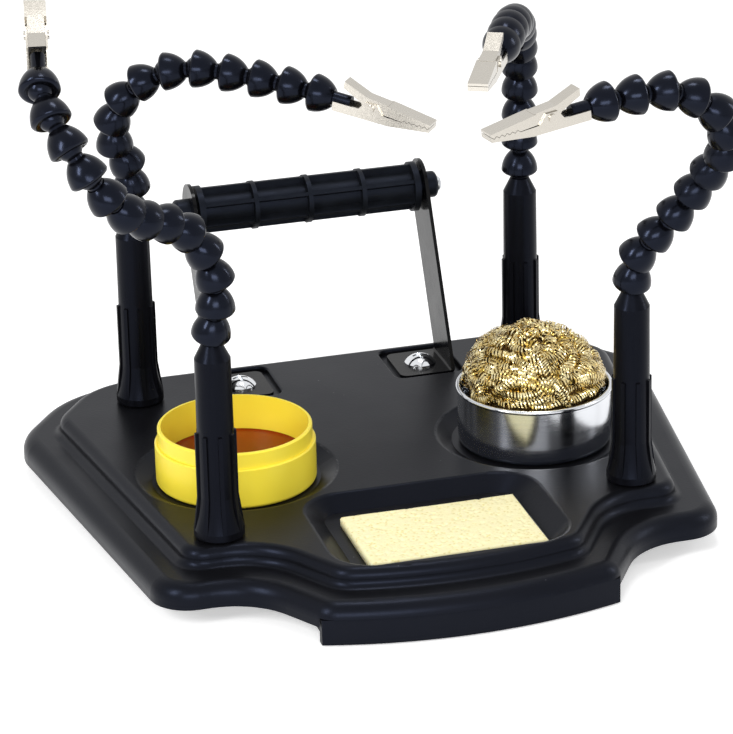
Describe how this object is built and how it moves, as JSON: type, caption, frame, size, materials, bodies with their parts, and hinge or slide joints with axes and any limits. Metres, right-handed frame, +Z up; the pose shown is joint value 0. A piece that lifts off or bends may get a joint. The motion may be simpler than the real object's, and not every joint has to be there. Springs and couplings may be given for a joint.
{
  "type": "soldering iron station",
  "caption": "Soldering station base with ball-jointed clip arms on posts, a reel roller, a flux cup, a tin of brass wool, a sponge tray and a drawer.",
  "frame": {"origin": "middle of the whole station's bounding box, at the level of the table under the feet", "axes": "+Z up; -Y towards the user, where the drawer and sponge are; +X to the user's right"},
  "size_m": [0.2702, 0.241, 0.2283],
  "materials": {
    "base_plastic": "satin",
    "post_plastic": "satin",
    "link_plastic": "gloss",
    "clip_steel": "satin",
    "bracket_steel": "gloss",
    "foot_rubber": "matte",
    "screw_chrome": "polished",
    "fastener_steel": "satin",
    "roller_plastic": "satin",
    "axle_steel": "satin",
    "cup_plastic": "satin",
    "rosin": "gloss",
    "tin_plate": "polished",
    "wool": "satin",
    "sponge": "matte"
  },
  "bodies": {
    "base": {"base_shell": "base_plastic", "bottom_plate": "base_plastic", "bottom_plate_screws": "fastener_steel", "rubber_feet": "foot_rubber", "left_bracket": "bracket_steel", "right_bracket": "bracket_steel", "bracket_screws": "screw_chrome", "bracket_nuts": "fastener_steel", "roller_axle": "axle_steel", "axle_nuts": "roller_plastic", "axle_washers": "roller_plastic", "front_left_post": "post_plastic", "front_right_post": "post_plastic", "rear_left_post": "post_plastic", "rear_right_post": "post_plastic", "post_screws": "fastener_steel"},
    "roller": {"spool_roller": "roller_plastic"},
    "drawer": {"drawer": "base_plastic"},
    "cup": {"flux_cup": "cup_plastic", "rosin": "rosin"},
    "tin": {"wool_tin": "tin_plate"},
    "wool": {"brass_wool": "wool"},
    "sponge": {"sponge": "sponge"},
    "front_left_links_1": {"front_left_links_1": "link_plastic"},
    "front_left_links_2": {"front_left_links_2": "link_plastic"},
    "front_left_links_3": {"front_left_links_3": "link_plastic"},
    "front_left_links_4": {"front_left_links_4": "link_plastic"},
    "front_left_links_5": {"front_left_links_5": "link_plastic"},
    "front_left_clip": {"front_left_clip_socket": "link_plastic", "front_left_clip_lower_jaw": "clip_steel", "front_left_clip_spring": "clip_steel"},
    "front_left_jaw": {"front_left_clip_upper_jaw": "clip_steel"},
    "front_right_links_1": {"front_right_links_1": "link_plastic"},
    "front_right_links_2": {"front_right_links_2": "link_plastic"},
    "front_right_links_3": {"front_right_links_3": "link_plastic"},
    "front_right_links_4": {"front_right_links_4": "link_plastic"},
    "front_right_links_5": {"front_right_links_5": "link_plastic"},
    "front_right_clip": {"front_right_clip_socket": "link_plastic", "front_right_clip_lower_jaw": "clip_steel", "front_right_clip_spring": "clip_steel"},
    "front_right_jaw": {"front_right_clip_upper_jaw": "clip_steel"},
    "rear_left_links_1": {"rear_left_links_1": "link_plastic"},
    "rear_left_links_2": {"rear_left_links_2": "link_plastic"},
    "rear_left_links_3": {"rear_left_links_3": "link_plastic"},
    "rear_left_links_4": {"rear_left_links_4": "link_plastic"},
    "rear_left_links_5": {"rear_left_links_5": "link_plastic"},
    "rear_left_clip": {"rear_left_clip_socket": "link_plastic", "rear_left_clip_lower_jaw": "clip_steel", "rear_left_clip_spring": "clip_steel"},
    "rear_left_jaw": {"rear_left_clip_upper_jaw": "clip_steel"},
    "rear_right_links_1": {"rear_right_links_1": "link_plastic"},
    "rear_right_links_2": {"rear_right_links_2": "link_plastic"},
    "rear_right_links_3": {"rear_right_links_3": "link_plastic"},
    "rear_right_links_4": {"rear_right_links_4": "link_plastic"},
    "rear_right_links_5": {"rear_right_links_5": "link_plastic"},
    "rear_right_clip": {"rear_right_clip_socket": "link_plastic", "rear_right_clip_lower_jaw": "clip_steel", "rear_right_clip_spring": "clip_steel"},
    "rear_right_jaw": {"rear_right_clip_upper_jaw": "clip_steel"}
  },
  "joints": [
    {"name": "roller_spin", "type": "hinge", "parent": "base", "child": "roller", "pos_m": [0.00892, 0.10949, 0.0855], "axis": [1, 0, 0], "continuous": true},
    {"name": "drawer_slide", "type": "slide", "parent": "base", "child": "drawer", "axis": [0, -1, 0], "range_m": [0, 0.04]},
    {"name": "cup_lift", "type": "slide", "parent": "base", "child": "cup", "axis": [0, 0, 1], "range_m": [0, 0.06]},
    {"name": "tin_lift", "type": "slide", "parent": "base", "child": "tin", "axis": [0, 0, 1], "range_m": [0, 0.06]},
    {"name": "wool_lift", "type": "slide", "parent": "tin", "child": "wool", "axis": [0, 0, 1], "range_m": [0, 0.04]},
    {"name": "sponge_lift", "type": "slide", "parent": "base", "child": "sponge", "axis": [0, 0, 1], "range_m": [0, 0.04]},
    {"name": "front_left_swivel", "type": "hinge", "parent": "base", "child": "front_left_links_1", "pos_m": [-0.06908, -0.05752, 0.10109], "axis": [0, 0, 1], "range_deg": [-170, 170]},
    {"name": "front_left_bend_low", "type": "hinge", "parent": "front_left_links_1", "child": "front_left_links_2", "pos_m": [-0.06831, -0.0637, 0.12314], "axis": [0.164, 0.9644, 0.2075], "range_deg": [-10, 43]},
    {"name": "front_left_side_bend_low", "type": "hinge", "parent": "front_left_links_2", "child": "front_left_links_3", "pos_m": [-0.07816, -0.06864, 0.14301], "axis": [0.5895, 0.5391, 0.6016], "range_deg": [-18, 18]},
    {"name": "front_left_bend_high", "type": "hinge", "parent": "front_left_links_3", "child": "front_left_links_4", "pos_m": [-0.10271, -0.08672, 0.15881], "axis": [0.7487, -0.5878, 0.3067], "range_deg": [-11, 42]},
    {"name": "front_left_side_bend_high", "type": "hinge", "parent": "front_left_links_4", "child": "front_left_links_5", "pos_m": [-0.12193, -0.09032, 0.18556], "axis": [-0.2871, -0.9546, 0.0787], "range_deg": [-21, 21]},
    {"name": "front_left_clip_turn", "type": "hinge", "parent": "front_left_links_5", "child": "front_left_clip", "pos_m": [-0.12801, -0.07665, 0.20261], "axis": [0.1473, 0.8352, 0.5299], "range_deg": [-90, 90]},
    {"name": "front_left_jaw_open", "type": "hinge", "parent": "front_left_clip", "child": "front_left_jaw", "pos_m": [-0.12481, -0.05848, 0.21555], "axis": [0.9848, -0.1736, 0], "range_deg": [0, 20], "stiffness_Nm_per_rad": 0.03, "springref_deg": -20.05, "deforming": ["front_left_clip_spring"]},
    {"name": "front_right_swivel", "type": "hinge", "parent": "base", "child": "front_right_links_1", "pos_m": [0.08692, -0.05752, 0.10109], "axis": [0, 0, 1], "range_deg": [-40, 150]},
    {"name": "front_right_bend_low", "type": "hinge", "parent": "front_right_links_1", "child": "front_right_links_2", "pos_m": [0.0915, -0.06741, 0.12081], "axis": [0.2937, -0.7445, -0.5996], "range_deg": [-17, 36]},
    {"name": "front_right_side_bend_low", "type": "hinge", "parent": "front_right_links_2", "child": "front_right_links_3", "pos_m": [0.10247, -0.07657, 0.1388], "axis": [-0.6566, -0.7541, -0.0121], "range_deg": [-25, 25]},
    {"name": "front_right_bend_high", "type": "hinge", "parent": "front_right_links_3", "child": "front_right_links_4", "pos_m": [0.10789, -0.0955, 0.16625], "axis": [-0.282, -0.8119, -0.5112], "range_deg": [-48, 5]},
    {"name": "front_right_side_bend_high", "type": "hinge", "parent": "front_right_links_4", "child": "front_right_links_5", "pos_m": [0.08343, -0.10324, 0.18684], "axis": [-0.3542, 0.1642, -0.9206], "range_deg": [-18, 18]},
    {"name": "front_right_clip_turn", "type": "hinge", "parent": "front_right_links_5", "child": "front_right_clip", "pos_m": [0.06053, -0.10484, 0.18604], "axis": [-0.9794, -0.1727, -0.1045], "range_deg": [-90, 90]},
    {"name": "front_right_jaw_open", "type": "hinge", "parent": "front_right_clip", "child": "front_right_jaw", "pos_m": [0.03837, -0.10875, 0.18488], "axis": [-0.1736, 0.9848, 0], "range_deg": [0, 20], "stiffness_Nm_per_rad": 0.03, "springref_deg": -20.05, "deforming": ["front_right_clip_spring"]},
    {"name": "rear_left_swivel", "type": "hinge", "parent": "base", "child": "rear_left_links_1", "pos_m": [-0.06908, 0.07447, 0.10109], "axis": [0, 0, -1], "range_deg": [-170, 170]},
    {"name": "rear_left_bend_low", "type": "hinge", "parent": "rear_left_links_1", "child": "rear_left_links_2", "pos_m": [-0.07077, 0.0683, 0.123], "axis": [0.1642, -0.9385, -0.3037], "range_deg": [-44, 9]},
    {"name": "rear_left_side_bend_low", "type": "hinge", "parent": "rear_left_links_2", "child": "rear_left_links_3", "pos_m": [-0.07746, 0.05969, 0.14284], "axis": [-0.9574, 0.2887, -0.0018], "range_deg": [-17, 17]},
    {"name": "rear_left_bend_high", "type": "hinge", "parent": "rear_left_links_3", "child": "rear_left_links_4", "pos_m": [-0.05933, 0.04375, 0.1653], "axis": [-0.3571, -0.9042, -0.2342], "range_deg": [-7, 46]},
    {"name": "rear_left_side_bend_high", "type": "hinge", "parent": "rear_left_links_4", "child": "rear_left_links_5", "pos_m": [-0.02858, 0.02876, 0.1637], "axis": [0.5003, 0.7403, 0.449], "range_deg": [-26, 26]},
    {"name": "rear_left_clip_turn", "type": "hinge", "parent": "rear_left_links_5", "child": "rear_left_clip", "pos_m": [-0.00956, 0.0164, 0.1599], "axis": [0.7942, -0.577, -0.1908], "range_deg": [-90, 90]},
    {"name": "rear_left_jaw_open", "type": "hinge", "parent": "rear_left_clip", "child": "rear_left_jaw", "pos_m": [0.0085, 0.00329, 0.15679], "axis": [-0.5878, -0.809, 0], "range_deg": [0, 20], "stiffness_Nm_per_rad": 0.03, "springref_deg": -20.05, "deforming": ["rear_left_clip_spring"]},
    {"name": "rear_right_swivel", "type": "hinge", "parent": "base", "child": "rear_right_links_1", "pos_m": [0.08692, 0.07447, 0.10109], "axis": [0, 0, -1], "range_deg": [-170, 20]},
    {"name": "rear_right_bend_low", "type": "hinge", "parent": "rear_right_links_1", "child": "rear_right_links_2", "pos_m": [0.08639, 0.07213, 0.12395], "axis": [-0.9478, 0.3186, 0.0112], "range_deg": [-20, 33]},
    {"name": "rear_right_side_bend_low", "type": "hinge", "parent": "rear_right_links_2", "child": "rear_right_links_3", "pos_m": [0.08429, 0.06536, 0.14577], "axis": [0.2865, 0.8818, 0.3746], "range_deg": [-24, 24]},
    {"name": "rear_right_bend_high", "type": "hinge", "parent": "rear_right_links_3", "child": "rear_right_links_4", "pos_m": [0.07614, 0.04231, 0.16939], "axis": [-0.8905, 0.4276, 0.1556], "range_deg": [-16, 37]},
    {"name": "rear_right_side_bend_high", "type": "hinge", "parent": "rear_right_links_4", "child": "rear_right_links_5", "pos_m": [0.06334, 0.01167, 0.17808], "axis": [-0.0566, -0.1271, -0.9903], "range_deg": [-26, 26]},
    {"name": "rear_right_clip_turn", "type": "hinge", "parent": "rear_right_links_5", "child": "rear_right_clip", "pos_m": [0.05363, -0.00915, 0.17888], "axis": [-0.4692, -0.8824, -0.0349], "range_deg": [-90, 90]},
    {"name": "rear_right_jaw_open", "type": "hinge", "parent": "rear_right_clip", "child": "rear_right_jaw", "pos_m": [0.04305, -0.02904, 0.17929], "axis": [-0.8829, 0.4695, 0], "range_deg": [0, 20], "stiffness_Nm_per_rad": 0.03, "springref_deg": -20.05, "deforming": ["rear_right_clip_spring"]}
  ]
}
